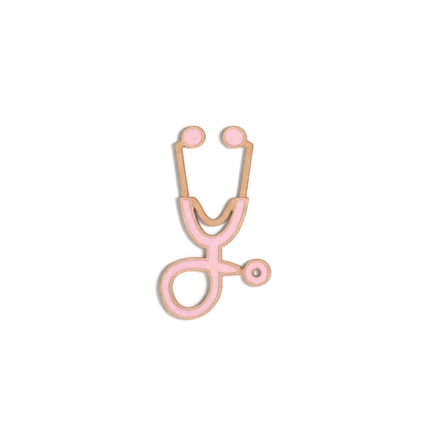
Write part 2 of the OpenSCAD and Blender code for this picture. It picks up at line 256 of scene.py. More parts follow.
def grid_quads(rows, ring):
    """The squares between neighbouring rows of a grid whose rows are closed rings of points."""
    i, j = np.meshgrid(np.arange(rows - 1), np.arange(ring), indexing="ij")
    nj = (j + 1) % ring
    return np.stack([i * ring + j, i * ring + nj, (i + 1) * ring + nj, (i + 1) * ring + j], 2).reshape(-1, 4)


def sheet_mesh(outline, extra):
    """Points and triangles of a flat sheet inside an outline, and the outline's edges.

    It is a Delaunay mesh of the outline's and the extra points, held to the outline's edges, without
    the triangles that lie outside.
    """
    ring = np.concatenate(outline)
    sizes = [len(loop) for loop in outline]
    first = np.repeat(np.cumsum(sizes) - sizes, sizes)
    own = np.arange(len(ring))
    edges = np.stack([own, first + (own - first + 1) % np.repeat(sizes, sizes)], 1)
    points = np.concatenate([ring, extra])
    solved = delaunay_2d_cdt(list(map(Vector, points)), edges.tolist(), [], 0, 1e-7)
    flat = np.array([tuple(p) for p in solved[0]])
    assert len(flat) == len(points) and np.abs(flat - points).max() < 1e-5
    triangles = np.array(solved[2])
    return points, triangles[inside(points[triangles].mean(1), segments(outline))], edges


def beside(loop, offset, edges):
    """A loop moved to its left by an offset, without the points that some edge comes well nearer to."""
    nearly = 0.93
    ring = shifted(loop, offset)
    return ring[distance(ring, edges) > nearly * abs(offset)]


def ring_points(loops, offsets, edges):
    """Points beside some loops, at each of several offsets."""
    return np.concatenate([beside(loop, offset, edges) for offset in offsets for loop in loops])


def apart(points, edges):
    """The points inside an outline and clear of it, thinned to one in each small square."""
    points = points[inside(points, edges) & (distance(points, edges) > LEAST_GAP)]
    _, first = np.unique(np.round(points / SQUARE).astype(int), axis=0, return_index=True)
    return points[first]


def slab(name, outline, front_points, front, back_points, back, marks=None):
    """A closed plate: a front and a back sheet over one outline, joined by a wall.

    front(points) and back(points) give Y over the plan, and marks(points) values for the material.
    """
    f_plan, f_faces, rim = sheet_mesh(outline, front_points)
    b_plan, b_faces, _ = sheet_mesh(outline, back_points)
    f_faces = oriented(f_plan, f_faces)
    b_faces = oriented(b_plan, b_faces)[:, ::-1] + len(f_plan)
    wall = np.stack([rim[:, 1], rim[:, 0], rim[:, 0] + len(f_plan), rim[:, 1] + len(f_plan)], 1)
    plan = np.concatenate([f_plan, b_plan])
    depth = np.concatenate([front(f_plan), back(b_plan)])
    points = np.stack([plan[:, 0], depth, plan[:, 1]], 1)
    faces = f_faces.tolist() + b_faces.tolist() + wall.tolist()
    return make_piece(name, points, faces, marks(plan, depth) if marks else None)


def oriented(plan, triangles):
    """The triangles, each running anticlockwise as seen from the front."""
    a, b, c = np.moveaxis(plan[triangles], 1, 0)
    turn = (b - a)[:, 0] * (c - a)[:, 1] - (b - a)[:, 1] * (c - a)[:, 0]
    return np.where((turn > 0)[:, None], triangles, triangles[:, ::-1])


def rounding(away, radius):
    """How far a rounded edge has dropped at a distance from the edge: a quarter circle."""
    inner = np.clip(radius - away, 0, radius)
    return radius - np.sqrt(radius ** 2 - inner ** 2)


def softened(corners, radius, steps=4):
    """A line with its corners rounded, all but its two ends.

    Each corner becomes a parabola between two points on its edges, a radius away from it, or just
    under half the edge where that is less.
    """
    most = 0.45
    corners = np.asarray(corners, float)
    before, after = corners[:-2] - corners[1:-1], corners[2:] - corners[1:-1]
    reach_in = np.minimum(radius / np.linalg.norm(before, axis=1), most)[:, None, None]
    reach_out = np.minimum(radius / np.linalg.norm(after, axis=1), most)[:, None, None]
    t = np.linspace(0, 1, steps + 1)[:, None]
    bend = (corners[1:-1, None] + before[:, None] * reach_in * (1 - t) ** 2
            + after[:, None] * reach_out * t ** 2)
    return np.concatenate([corners[:1], bend.reshape(-1, 2), corners[-1:]])


def turned(name, axis, profile, ripple=None, around=96):
    """A profile of (radius, Y) turned about a post's axis.

    A point is axis + radius * (cos a, sin a) in plan; ripple(a, radius, Y) may change its radius. A profile
    that ends on the axis closes in a pole, and one that comes back to its start makes a ring. Points that
    fall together on the axis become one, and the squares there become triangles or nothing.
    """
    profile = np.asarray(profile, float)
    closed = np.allclose(profile[0], profile[-1])
    radius, depth = (profile[:-1] if closed else profile).T
    a = np.linspace(0, 2 * np.pi, around, endpoint=False)[:, None]
    reach = radius + (ripple(a, radius, depth) if ripple else 0 * a)
    grid = np.stack([axis[0] + reach * np.cos(a), depth + 0 * a, axis[1] + reach * np.sin(a)], 2)
    count = len(radius)
    i, j = np.meshgrid(np.arange(around), np.arange(count if closed else count - 1), indexing="ij")
    n_i, n_j = (i + 1) % around, (j + 1) % count
    quads = np.stack([i * count + j, i * count + n_j, n_i * count + n_j, n_i * count + j], 2).reshape(-1, 4)
    points = grid.reshape(-1, 3)
    used = np.unique(np.round(points, 6), axis=0, return_index=True, return_inverse=True)
    quads = used[2].ravel()[quads]
    same = quads == np.roll(quads, -1, 1)
    tips = quads[same.sum(1) == 1]
    tips = tips[~same[same.sum(1) == 1]].reshape(-1, 3)
    return make_piece(name, points[used[1]], quads[~same.any(1)].tolist() + tips.tolist())


# ---- The struck body and its enamel ----

BODY = "struck_body"
POST_AXIS = {}
for side in SIDES:
    low, high = span(f"post_{side}")
    POST_AXIS[side] = ((low + high) / 2)[[0, 2]]

levels = np.unique(np.round(welded(BODY)[0][:, 1], 2))
RIM_TOP, BARE_TOP, CELL_FLOOR, RECESS_FLOOR, BACK = levels
RECESS_R = radii_at(BODY, RECESS_FLOOR, POST_AXIS["left"])[0]
ENAMEL_TOP = span("enamel_tubing")[0][1]
EDGE_R = 0.15       # rounding of the front's outer edges
RIM_EDGE_R = 0.07   # rounding of the rims' inner edges
BACK_EDGE_R = 0.08  # rounding of the back's outer edges
DRAFT = 0.05        # width in plan of a struck step's sloping side
WEAR_W = 0.12       # width of the polish on the edges
BARE_FADE = 0.2     # width over which the bare bars' tone gives way to the rims'
MENISCUS = 0.02     # how far the enamel climbs its walls
MENISCUS_W = 0.15   # how far out from its walls
DEEP_W = 0.2        # width of the enamel's deeper tone along its walls
TUCK = 0.03         # how far the enamel reaches under the rims' rounded edges


def near_post(loop):
    """Whether an outline lies in one of the recesses under the posts."""
    return any(np.hypot(*(loop - axis).T).max() < RECESS_R + 0.1 for axis in POST_AXIS.values())


outline = [loop for loop in level_loops(BODY, BACK) if not near_post(loop)]
cells = level_loops(BODY, CELL_FLOOR)
bare = level_loops(BODY, BARE_TOP)
skyline = segments(outline)
cell_edges = segments(cells)
bare_edges = segments(bare)
is_step = distance((bare_edges[0] + bare_edges[1]) / 2, skyline) > DRAFT
step_edges = bare_edges[0][is_step], bare_edges[1][is_step]


def signed(points, edges, loops_edges):
    """Distance to some edges, taken as negative inside the loops."""
    return distance(points, edges) * np.where(inside(points, loops_edges), -1, 1)


def body_front(points):
    """Y of the front: the rims' level, let down by a slope at each step to bare metal and into each cell.

    A quarter circle is taken off along every outer edge, and a finer one along the rims' inner edges.
    """
    cell = signed(points, cell_edges, cell_edges)
    step = signed(points, step_edges, bare_edges)
    bareness = np.clip(0.5 - step / DRAFT, 0, 1)
    sunk = np.clip(-cell / DRAFT, 0, 1)
    inner_edge = np.minimum(np.maximum(cell, 0), np.where(step > 0, step, RIM_EDGE_R))
    level = RIM_TOP + bareness * (BARE_TOP - RIM_TOP) + sunk * (CELL_FLOOR - RIM_TOP)
    drop = (1 - bareness) * rounding(inner_edge, RIM_EDGE_R) + rounding(distance(points, skyline), EDGE_R)
    return level + drop * (1 - sunk)


def body_back(points):
    """Y of the back: flat, rounded along the outer edges, sunk to the recesses' floor round each post."""
    away = np.min([np.hypot(*(points - axis).T) for axis in POST_AXIS.values()], axis=0)
    sunk = np.clip((RECESS_R - away) / DRAFT, 0, 1)
    return BACK + sunk * (RECESS_FLOOR - BACK) - rounding(distance(points, skyline), BACK_EDGE_R)


def body_marks(plan, depth):
    """Values for the metal: wear, 1 on an edge and fading inwards, and bare, 1 on the unrimmed bars."""
    edge = np.minimum(distance(plan, skyline), distance(plan, cell_edges))
    step = signed(plan, step_edges, bare_edges)
    front = depth < RIM_TOP / 2
    return {"wear": np.exp(-(edge / WEAR_W) ** 2) * front,
            "bare": np.clip(0.5 - step / BARE_FADE, 0, 1) * front}


def make_body():
    """The struck body: points are crowded beside its outline, cells and steps, where its surface bends."""
    outer = ring_points(outline, [0.012, 0.045, 0.09, EDGE_R, 0.3], skyline)
    inner = ring_points(cells, [-0.3, -RIM_EDGE_R, -0.035, -0.01, 0, DRAFT, 0.25], cell_edges)
    start, end = step_edges
    normal = (end - start)[:, ::-1] * [-1, 1] / np.linalg.norm(end - start, axis=1)[:, None]
    steps = [line + offset * normal for line in (start, (start + end) / 2)
             for offset in (-0.3, -RIM_EDGE_R - DRAFT / 2, -0.05, -DRAFT / 2, DRAFT / 2, 0.2)]
    front = apart(np.concatenate([outer, inner, *steps]), skyline)
    a = np.linspace(0, 2 * np.pi, 72, endpoint=False)
    circle = np.stack([np.cos(a), np.sin(a)], 1)
    recesses = [axis + circle * radius for axis in POST_AXIS.values()
                for radius in (RECESS_R - 0.5, RECESS_R - DRAFT, RECESS_R, RECESS_R + 0.15)]
    back_rings = ring_points(outline, [0.02, 0.045, BACK_EDGE_R, 0.4], skyline)
    back = apart(np.concatenate([back_rings, *recesses]), skyline)
    body = slab("rose_gold_body", outline, front, body_front, back, body_back, body_marks)
    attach(body, "pin")
    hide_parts(BODY)
    return body


def make_enamel(node):
    """One cell's enamel: its surface is level, and climbs the walls along a bell curve."""
    loops = level_loops(node, ENAMEL_TOP)
    rim = [beside(loop, -TUCK, segments([loop])) for loop in loops]
    edges = segments(rim)
    rings = apart(ring_points(rim, [0.04, 0.08, 0.14, 0.22, 0.4, 0.7], edges), edges)

    def surface(points):
        return ENAMEL_TOP - MENISCUS * np.exp(-(distance(points, edges) / MENISCUS_W) ** 2)

    def floor(points):
        return np.full(len(points), CELL_FLOOR)

    def marks(plan, depth):
        return {"rim": np.exp(-(distance(plan, edges) / DEEP_W) ** 2)}

    piece = slab(node.replace("enamel", "pink_enamel"), rim, rings, surface, rings[:0], floor, marks)
    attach(piece, "pin")
    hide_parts(node)
    return piece


# ---- Posts, solder and clutches ----

# Sizes of the turned parts' fine details, and some of the CAD's own, in millimetres
EDGE = 0.1                      # the CAD's chamfer on turned edges
GROOVE = 0.05                   # depth of a fine turned line
TWO_LINES = [0, 1, 1, 0, 0, 1, 1, 0]            # points of two such lines, 1 at their bottoms
WIDER_LINES = [0, 1, 1, 0, 0, 0, 1, 1, 0]       # and of two with more metal between them
FILLET_R = 0.15                 # foot of the post's wire
CONE_ANGLE = math.radians(14)
CASE_FLOOR = 0.4                # thickness of the case's front wall
KNURLS, KNURL_DEPTH = 56, 0.05  # round the case's front lip
FLUTES, FLUTE_DEPTH = 28, 0.06  # round the knob's flange
SOCKET_DEPTH = 0.8              # of the knob's socket
DOME = 0.45                     # height of the knob's dome
END_WALL = 0.6                  # metal behind the knob's cavity
WAIST_DEPTH = 0.45              # of the knob's waist, under its collar
COLLAR_L = 0.35                 # from the knob's front face to its waist
FLANGE_FRONT = 1.45             # and to its finger flange
DIMPLE_R, DIMPLE_DEPTH = 0.6, 0.06              # in the dome's middle
WIRE_R = 0.1                    # of the lock spring's wire
SPRING_TURNS = 4
FLAT_TURNS = 0.75               # turns at each end that lie flat
BALLS = 3                       # in each lock
SOLDER_WANDER = 0.022           # of the solder's edge, for each of its lobes


def turned_lines(radius, start, pitch, dips):
    """Profile points of fine lines: one each pitch from the start, a groove deep where dips has a 1."""
    return [(radius - GROOVE * dip, start + pitch * n) for n, dip in enumerate(dips)]


def make_post(side):
    """A drawn wire with a rounded pad at its foot, two fine rings turned near the point, and a blunt tip."""
    low, high = span(f"post_{side}")
    axis = POST_AXIS[side]
    wire, pad = radii_at(f"post_{side}", BACK, axis)
    tip = radii_at(f"post_{side}", high[1], axis)[-1]
    levels = np.unique(welded(f"post_{side}")[0][:, 1])
    point = levels[levels < high[1] - EDGE].max()
    pad_face = BACK - 0.02
    corners = [(0, low[1]), (pad, low[1]), (pad, pad_face), (wire + 0.12, pad_face), (wire, BACK + FILLET_R),
               *turned_lines(wire, point - 0.9, 0.1, TWO_LINES), (wire, point), (tip, high[1]), (0, high[1])]
    profile = softened(corners, 0.08)
    return make_turned(f"post_wire_{side}", side, profile, "pin", f"post_{side}")


def make_solder(side):
    """The ring of solder round a post's pad: a fillet whose edge and height wander with the angle."""
    node = f"solder_{side}"
    low, high = span(node)
    outer = (high[0] - low[0]) / 2
    inner = radii_at(node, BACK, POST_AXIS[side])[0]
    a = np.linspace(0, np.pi / 2, 9)
    fillet = np.stack([outer - (outer - inner) * np.sin(a), high[1] * (1 - np.cos(a)) ** 1.3], 1)
    profile = np.concatenate([fillet, [(inner, low[1]), (outer, low[1])], fillet[:1]])
    phase = 1.0 if side == "left" else 2.6

    def wander(a, radius, depth):
        lobes = np.sin(2 * a + phase) + 0.6 * np.sin(5 * a - phase) + 0.35 * np.sin(9 * a + 2 * phase)
        return SOLDER_WANDER * (lobes - 2) * (radius > inner + 0.02) * (depth > low[1] / 2)

    return make_turned(f"solder_ring_{side}", side, profile, "pin", node, wander)


def make_turned(name, side, profile, body, node, ripple=None, around=96):
    """A turned piece about a post's axis, riding on a body and standing for a CAD node."""
    piece = turned(name, POST_AXIS[side], profile, ripple, around)
    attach(piece, body)
    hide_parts(node)
    return piece


def make_case(side):
    """The clutch's case: a knurled lip in front, a drum with two turned lines, and the cone inside."""
    node = f"clutch_case_{side}"
    axis = POST_AXIS[side]
    low, high = span(node)
    ring_face = span(f"end_ring_{side}")[0][1]
    front, floor_top, end = low[1], low[1] + CASE_FLOOR, high[1]
    bore, cone, _ = radii_at(node, floor_top, axis)
    lip = (high[0] - low[0]) / 2
    drum = radii_at(node, floor_top + EDGE, axis)[-1]
    chamber, seat = radii_at(node, ring_face, axis)
    cone_end = floor_top + (chamber - cone) / math.tan(CONE_ANGLE)
    corners = [(bore, front + 0.2), (bore, front), (lip - 0.35, front), (lip - 0.3, front + GROOVE),
               (lip - 0.22, front), (lip, front), (lip, floor_top), (drum, floor_top + EDGE),
               *turned_lines(drum, end - 1.3, 0.09, WIDER_LINES), (drum, end), (seat, end), (seat, ring_face),
               (chamber, ring_face), (chamber, cone_end), (cone, floor_top), (bore, floor_top),
               (bore, front + 0.2)]

    def knurl(a, radius, depth):
        teeth = np.abs(np.sin(KNURLS / 2 * a)) ** 0.6 - 1
        return KNURL_DEPTH * teeth * (radius > lip - 0.04) * (depth < floor_top)

    return make_turned(f"case_shell_{side}", side, softened(corners, 0.07), f"clutch_{side}", node,
                       knurl, 5 * KNURLS)


def make_ring(side):
    """The ring pressed into the back of the case, its edges broken, with a shallow V round its middle."""
    node = f"end_ring_{side}"
    low, high = span(node)
    bore, outer = radii_at(node, low[1], POST_AXIS[side])
    middle = (bore + outer) / 2
    corners = [(middle, low[1]), (outer, low[1]), (outer, high[1]), (middle + 0.15, high[1]),
               (middle, high[1] - 0.06), (middle - 0.15, high[1]), (bore, high[1]), (bore, low[1]),
               (middle, low[1])]
    profile = softened(corners, 0.06)
    return make_turned(f"closing_ring_{side}", side, profile, f"clutch_{side}", node)


def make_knob(side):
    """The pull knob: a collar, a waist, a fluted finger flange and a domed end with a dimple.

    The waist goes in by the square of a sine, and the dome is a quarter of an ellipse.
    """
    node = f"pull_knob_{side}"
    axis = POST_AXIS[side]
    low, high = span(node)
    socket, collar = radii_at(node, low[1], axis)
    collar = collar + EDGE
    flange = (high[0] - low[0]) / 2
    front, socket_end, end = low[1], low[1] + SOCKET_DEPTH, high[1]
    cavity = radii_at(node, socket_end, axis)[0]
    cavity_end = end - END_WALL
    a = np.linspace(0, np.pi, 15)
    waist = np.stack([collar - WAIST_DEPTH * np.sin(a) ** 2,
                      front + COLLAR_L + (FLANGE_FRONT - COLLAR_L - EDGE) * a / np.pi], 1)
    d = np.linspace(0, np.pi / 2, 13)
    dome = np.stack([flange * np.cos(d), end - DOME + DOME * np.sin(d)], 1)
    dimple = dome[:, 0] < DIMPLE_R
    dome[dimple, 1] -= DIMPLE_DEPTH * (1 - (dome[dimple, 0] / DIMPLE_R) ** 2) ** 2
    outside = [(socket, front + 0.3), (socket, front), (collar, front), *waist,
               (flange, front + FLANGE_FRONT), *dome]
    bored = [(0, cavity_end), (cavity, cavity_end), (cavity, socket_end), (socket, socket_end),
             (socket, front + 0.3)]

    def flutes(a, radius, depth):
        rib = np.abs(np.sin(FLUTES / 2 * a)) ** 0.7 - 1
        return FLUTE_DEPTH * rib * (radius > flange - 0.12) * (depth > front + FLANGE_FRONT - 0.01)

    profile = np.concatenate([softened(outside, 0.06), softened(bored, 0.05)])
    piece = turned(f"knob_shell_{side}", axis, profile, flutes, 8 * FLUTES)
    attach(piece, f"knob_{side}")
    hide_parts(node)
    return piece


def make_spring(side):
    """The lock spring: a round wire carried along a helix whose two ends lie flat."""
    node = f"lock_spring_{side}"
    axis = POST_AXIS[side]
    low, high = span(node)
    outer = (high[0] - low[0] + high[2] - low[2]) / 4
    orbit = outer - WIRE_R
    t = np.linspace(0, SPRING_TURNS, 40 * SPRING_TURNS + 1)[:, None]
    climb = np.clip((t - FLAT_TURNS) / (SPRING_TURNS - 2 * FLAT_TURNS), 0, 1)
    climb = climb * climb * (3 - 2 * climb) * 0.25 + climb * 0.75
    b = np.linspace(0, 2 * np.pi, 12, endpoint=False)
    reach = orbit + WIRE_R * np.cos(b)
    turn = 2 * np.pi * t
    depth = low[1] + WIRE_R + (high[1] - low[1] - 2 * WIRE_R) * climb + WIRE_R * np.sin(b)
    grid = np.stack([axis[0] + reach * np.cos(turn), depth, axis[1] + reach * np.sin(turn)], 2)
    rows, ring = grid.shape[:2]
    ends = [list(range(ring))[::-1], list(range((rows - 1) * ring, rows * ring))]
    piece = make_piece(f"spring_wire_{side}", grid.reshape(-1, 3), grid_quads(rows, ring).tolist() + ends)
    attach(piece, f"clutch_{side}")
    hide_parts(node)
    axis[0] * MM
    axis[1] * MM
    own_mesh(piece)
    return piece


def make_balls(side):
    """The locking balls: each a sphere of two angles, on an even ring about the post."""
    node = f"lock_balls_{side}"
    axis = POST_AXIS[side]
    low, high = span(node)
    radius = (high[1] - low[1]) / 2
    orbit = high[0] - axis[0] - radius
    level = (low[1] + high[1]) / 2
    rows, ring = 24, 40
    u = np.linspace(0, np.pi, rows + 1)[1:-1, None]
    v = np.linspace(0, 2 * np.pi, ring, endpoint=False)
    ball = np.stack([np.sin(u) * np.cos(v), np.cos(u) + 0 * v, np.sin(u) * np.sin(v)], 2).reshape(-1, 3)
    ball = np.concatenate([ball, [[0, 1, 0], [0, -1, 0]]]) * radius
    quads = grid_quads(rows - 1, ring)
    k = np.arange(ring)
    top, bottom, last = len(ball) - 2, len(ball) - 1, (rows - 2) * ring
    tips = np.concatenate([np.stack([(k + 1) % ring, k, np.full(ring, top)], 1),
                           np.stack([last + k, last + (k + 1) % ring, np.full(ring, bottom)], 1)])
    points, faces = [], []
    for n in range(BALLS):
        turn = 2 * math.pi * n / BALLS
        centre = [axis[0] + orbit * math.cos(turn), level, axis[1] - orbit * math.sin(turn)]
        points.append(ball + centre)
        faces += (quads + n * len(ball)).tolist() + (tips + n * len(ball)).tolist()
    piece = make_piece(f"steel_balls_{side}", np.concatenate(points), faces)
    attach(piece, f"knob_{side}")
    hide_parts(node)
    return piece


# ---- Materials ----

RIM_SHEEN_TONE, RIM_SHEEN_DEEP = "f9ceb5", "f1c0a2"         # rose gold on the raised rims, painted paler and pinker as a painted reflection of highlights and of the pink enamel, and its clouds
BAR_TONE, BAR_DEEP = "fbcba3", "f2bb8d"         # on the bare bars
FACTOR, COLOUR_A, COLOUR_B, COLOUR_OUT = 0, 6, 7, 2    # the colour sockets of a Mix node


class Value:
    """A socket that is used in Python expressions: each operator adds its Math node."""

    def __init__(self, graph, socket):
        self.graph, self.socket = graph, socket

    def maths(self, operation, first, second):
        return self.graph.node("ShaderNodeMath", {"operation": operation}, {0: first, 1: second})

    def __add__(self, other):
        return self.maths("ADD", self, other)

    def __sub__(self, other):
        return self.maths("SUBTRACT", self, other)

    def __rsub__(self, other):
        return self.maths("SUBTRACT", other, self)

    def __mul__(self, other):
        return self.maths("MULTIPLY", self, other)

    def __truediv__(self, other):
        return self.maths("DIVIDE", self, other)

    __radd__ = __add__
    __rmul__ = __mul__

    def clamped(self):
        return self.graph.node("ShaderNodeClamp", {}, {"Value": self})

    def size(self):
        return self.graph.node("ShaderNodeMath", {"operation": "ABSOLUTE"}, {0: self})

    def between(self, low, high, soft):
        """1 between two values and 0 outside them, with soft ends."""
        return ((self - low) / soft).clamped() * ((high - self) / soft).clamped()


class Graph:
    """A node tree. `node` adds any node: its type, its settings, then values or links of its sockets."""

    def __init__(self, tree):
        self.tree = tree

    def node(self, kind, settings, inputs, out=0):
        made = self.tree.nodes.new(kind)
        for name, value in settings.items():
            if name == "stops":
                self.set_stops(made.color_ramp, value)
            else:
                setattr(made, name, value)
        for name, value in inputs.items():
            self.join(value, made.inputs[name])
        return Value(self, made.outputs[out])

    def parts(self, vector):
        """A vector's X, Y and Z."""
        split = self.node("ShaderNodeSeparateXYZ", {}, {"Vector": vector}).socket.node
        return [Value(self, split.outputs[axis]) for axis in "XYZ"]

    def set_stops(self, ramp, stops):
        while len(ramp.elements) < len(stops):
            ramp.elements.new(1)
        for element, (position, colour) in zip(ramp.elements, stops):
            element.position = position
            element.color = (*colour, 1)

    def join(self, value, socket):
        if isinstance(value, Value):
            self.tree.links.new(value.socket, socket)
        elif isinstance(value, tuple) and socket.type == "RGBA":
            socket.default_value = (*value, 1)
        else:
            socket.default_value = value


class Paint(Graph):
    """A node material on Object coordinates."""

    def __init__(self, name):
        self.material = bpy.data.materials.new(name)
        self.material.use_nodes = True
        super().__init__(self.material.node_tree)
        self.shader = self.tree.nodes["Principled BSDF"]
        self.place = self.node("ShaderNodeTexCoord", {}, {}, "Object")

    def noise(self, size, detail=2.0, stretch=(1, 1, 1)):
        """Cloud noise about 0.5 whose features are about `size` millimetres."""
        scale = tuple(s / (size * MM) for s in stretch)
        scaled = self.node("ShaderNodeMapping", {}, {"Vector": self.place, "Scale": scale})
        return self.node("ShaderNodeTexNoise", {}, {"Vector": scaled, "Scale": 1.0, "Detail": detail})

    def mark(self, name):
        return self.node("ShaderNodeAttribute", {"attribute_name": name}, {}, "Fac")

    def blend(self, mask, first, second):
        """Mix of two colours: the first where the mask is 0, the second where it is 1."""
        return self.node("ShaderNodeMix", {"data_type": "RGBA"},
                         {FACTOR: mask, COLOUR_A: first, COLOUR_B: second}, COLOUR_OUT)

    def ramp(self, value, stops):
        return self.node("ShaderNodeValToRGB", {"stops": stops}, {"Fac": value})

    def bump(self, height, distance, under=None):
        """A normal bent by a height, of so many millimetres, on top of another bump's normal."""
        inputs = {"Height": height, "Distance": distance * MM, "Strength": 1.0}
        if under:
            inputs["Normal"] = under
        return self.node("ShaderNodeBump", {}, inputs)

    def finish(self, fixed, varying):
        """Sets the shader's constant sockets and links its varying ones."""
        for name, value in {**fixed, **varying}.items():
            self.join(value, self.shader.inputs[name])
        return self.material


def colour(hexcode):
    """A screen colour such as d9a27c as linear light."""
    screen = [int(hexcode[i:i + 2], 16) / 255 for i in (0, 2, 4)]
    return tuple(((c + 0.055) / 1.055) ** 2.4 if c > 0.04045 else c / 12.92 for c in screen)


def about_posts(p):
    """Object coordinates measured from the nearer post's axis, so that rings centre on both posts."""
    x, y, z = p.parts(p.place)
    x = x.size() - float(POST_AXIS["right"][0]) * MM
    z = z - float(POST_AXIS["right"][1]) * MM
    return p.node("ShaderNodeCombineXYZ", {}, {"X": x, "Y": y, "Z": z})


def rose_gold():
    """Rose-gold plating on struck metal: bars a deeper copper, rims painted paler and pinker as a painted
    reflection of highlights and of the pink enamel, edges polished by wear.

    The side walls, where the metal was trimmed, are rougher, with shear lines along Y, and carry a darker
    tone as painted shade.
    """
    p = Paint("rose_gold_plate")
    bare, wear = p.mark("bare"), p.mark("wear")
    _, y, _ = p.parts(p.place)
    trimmed = y.between((BARE_TOP + EDGE_R) * MM, (BACK - BACK_EDGE_R) * MM, 0.05 * MM)
    cloud, mottle, grain = p.noise(5, 3), p.noise(0.8, 3), p.noise(0.07, 2)
    shear = p.noise(0.11, 2, stretch=(1, 0.05, 1))
    # painted reflection: the rims take a paler, pinker tone than the bars, standing for highlights and the
    # pink enamel reflected in them
    tone = p.blend(bare, colour(RIM_SHEEN_TONE), colour(BAR_TONE))
    tone = p.blend((cloud * 1.8 - 0.5).clamped(), tone, p.blend(bare, colour(RIM_SHEEN_DEEP), colour(BAR_DEEP)))
    tone = p.blend((mottle * 2 - 0.8).clamped() * 0.2, tone, colour("c99770"))
    tone = p.blend(wear * 0.3, tone, colour("f3cfb4"))
    # painted shade: the side walls are given a darker tone
    tone = p.blend(trimmed * 0.6, tone, colour("dcb48c"))
    tone = p.blend(trimmed * (shear * 2 - 0.7).clamped() * 0.4, tone, colour("a87b58"))
    rough = 0.32 + (mottle - 0.5) * 0.2 - wear * 0.06 + bare * 0.05 + trimmed * 0.2
    swell = p.bump(cloud, 0.05)
    skin = p.bump(mottle, 0.012, under=swell)
    skin = p.bump(shear * trimmed, 0.012, under=skin)
    return p.finish({"Metallic": 1.0, "Specular Tint": colour("cba88c")},
                    {"Base Color": tone, "Roughness": rough, "Normal": p.bump(grain, 0.003, under=skin)})


def enamel():
    """Pastel pink enamel: a trace of lilac and of warm pink in it, deeper along its walls, gently uneven."""
    p = Paint("pink_enamel")
    rim = p.mark("rim")
    cloud, small, peel = p.noise(4.5, 2), p.noise(1.2, 2), p.noise(0.5, 2)
    tone = p.ramp(cloud, [(0.3, colour("e6b9c6")), (0.5, colour("e9b9c1")), (0.7, colour("ecb9bd"))])
    tone = p.blend((small * 2 - 0.7).clamped() * 0.14, tone, colour("ebc4c0"))
    tone = p.blend(rim * 0.35, tone, colour("e0abab"))
    rough = 0.28 + (small - 0.5) * 0.15
    return p.finish({"Coat Weight": 0.25, "Coat Roughness": 0.12},
                    {"Base Color": tone, "Roughness": rough, "Normal": p.bump(peel, 0.01)})


def nickel():
    """Nickel on turned brass: fine turning lines about the post, faint stains, brass where it is rubbed."""
    p = Paint("nickel_plate")
    centred = about_posts(p)
    lines = p.node("ShaderNodeTexWave", {"wave_type": "RINGS", "rings_direction": "Y", "wave_profile": "SIN"},
                   {"Vector": centred, "Scale": 4200.0, "Distortion": 1.5, "Detail": 2.0,
                    "Detail Scale": 2.0}, "Fac")
    cloud, mottle, grain = p.noise(2.5, 3), p.noise(0.5, 3), p.noise(0.05, 2)
    tone = p.blend((cloud * 1.8 - 0.5).clamped(), colour("d3d1cc"), colour("c2bfb6"))
    tone = p.blend((mottle * 3 - 1.75).clamped() * 0.35, tone, colour("b39a6a"))
    rough = 0.2 + (mottle - 0.5) * 0.2 + lines * 0.06
    skin = p.bump(lines, 0.003)
    return p.finish({"Metallic": 1.0},
                    {"Base Color": tone, "Roughness": rough, "Normal": p.bump(grain, 0.002, under=skin)})


def brass(name, bright, dull, rough_base):
    """Drawn or turned brass: a warm tone that darkens in clouds, with fine lines along Y."""
    p = Paint(name)
    cloud, mottle = p.noise(1.6, 3), p.noise(0.3, 3)
    drawn = p.noise(0.08, 2, stretch=(1, 0.03, 1))
    tone = p.blend((cloud * 1.8 - 0.5).clamped(), bright, dull)
    tone = p.blend((mottle * 3 - 1.7).clamped() * 0.4, tone, tuple(c * 0.6 for c in dull))
    rough = rough_base + (mottle - 0.5) * 0.2
    skin = p.bump(drawn, 0.006)
    return p.finish({"Metallic": 1.0},
                    {"Base Color": tone, "Roughness": rough, "Normal": p.bump(mottle, 0.004, under=skin)})


def solder():
    """Tin solder: dull grey, frosted in patches, with shrink marks from cooling."""
    p = Paint("solder")
    cloud, crystals, grain = p.noise(0.8, 3), p.noise(0.18, 3), p.noise(0.05, 2)
    tone = p.ramp(cloud, [(0.3, colour("8f8c84")), (0.5, colour("aaa79f")), (0.7, colour("c4c2bb"))])
    rough = 0.35 + (crystals - 0.5) * 0.5
    skin = p.bump(crystals, 0.02)
    return p.finish({"Metallic": 1.0},
                    {"Base Color": tone, "Roughness": rough, "Normal": p.bump(grain, 0.004, under=skin)})


def steel(name, light, dark, rough_base, streak):
    """Steel with faint clouds in its tone and streaks along X, Y and Z in the given shares."""
    p = Paint(name)
    cloud, lines = p.noise(0.6, 3), p.noise(0.06, 2, stretch=streak)
    tone = p.blend((cloud * 1.8 - 0.4).clamped(), light, dark)
    rough = rough_base + (cloud - 0.5) * 0.12 + (lines - 0.5) * 0.08
    return p.finish({"Metallic": 1.0},
                    {"Base Color": tone, "Roughness": rough, "Normal": p.bump(lines, 0.003)})


def dress(piece, material):
    """Gives a piece its one material."""
    piece.data.materials.clear()
    piece.data.materials.append(material)


# ---- The object ----

plate, paint_fill, nickel_plate = rose_gold(), enamel(), nickel()
post_brass = brass("post_brass", colour("dcb690"), colour("bf9668"), 0.3)
cage_brass = brass("bare_brass", colour("cdb06e"), colour("a88a4c"), 0.32)
tin = solder()
ball_steel = steel("bearing_steel", colour("c9cbce"), colour("a6a9ad"), 0.12, (1, 1, 1))
wire_steel = steel("spring_steel", colour("a9abb0"), colour("7e8187"), 0.26, (1, 0.2, 1))

dress(make_body(), plate)
for node in sorted(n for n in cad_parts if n.startswith("enamel")):
    dress(make_enamel(node), paint_fill)
for side in SIDES:
    dress(make_post(side), post_brass)
    dress(make_solder(side), tin)
    dress(make_case(side), nickel_plate)
    dress(make_ring(side), nickel_plate)
    dress(make_knob(side), nickel_plate)
    dress(make_spring(side), wire_steel)
    dress(make_balls(side), ball_steel)
    dress(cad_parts[f"ball_cage_{side}"], cage_brass)


# ---- Camera, card, floor and light ----

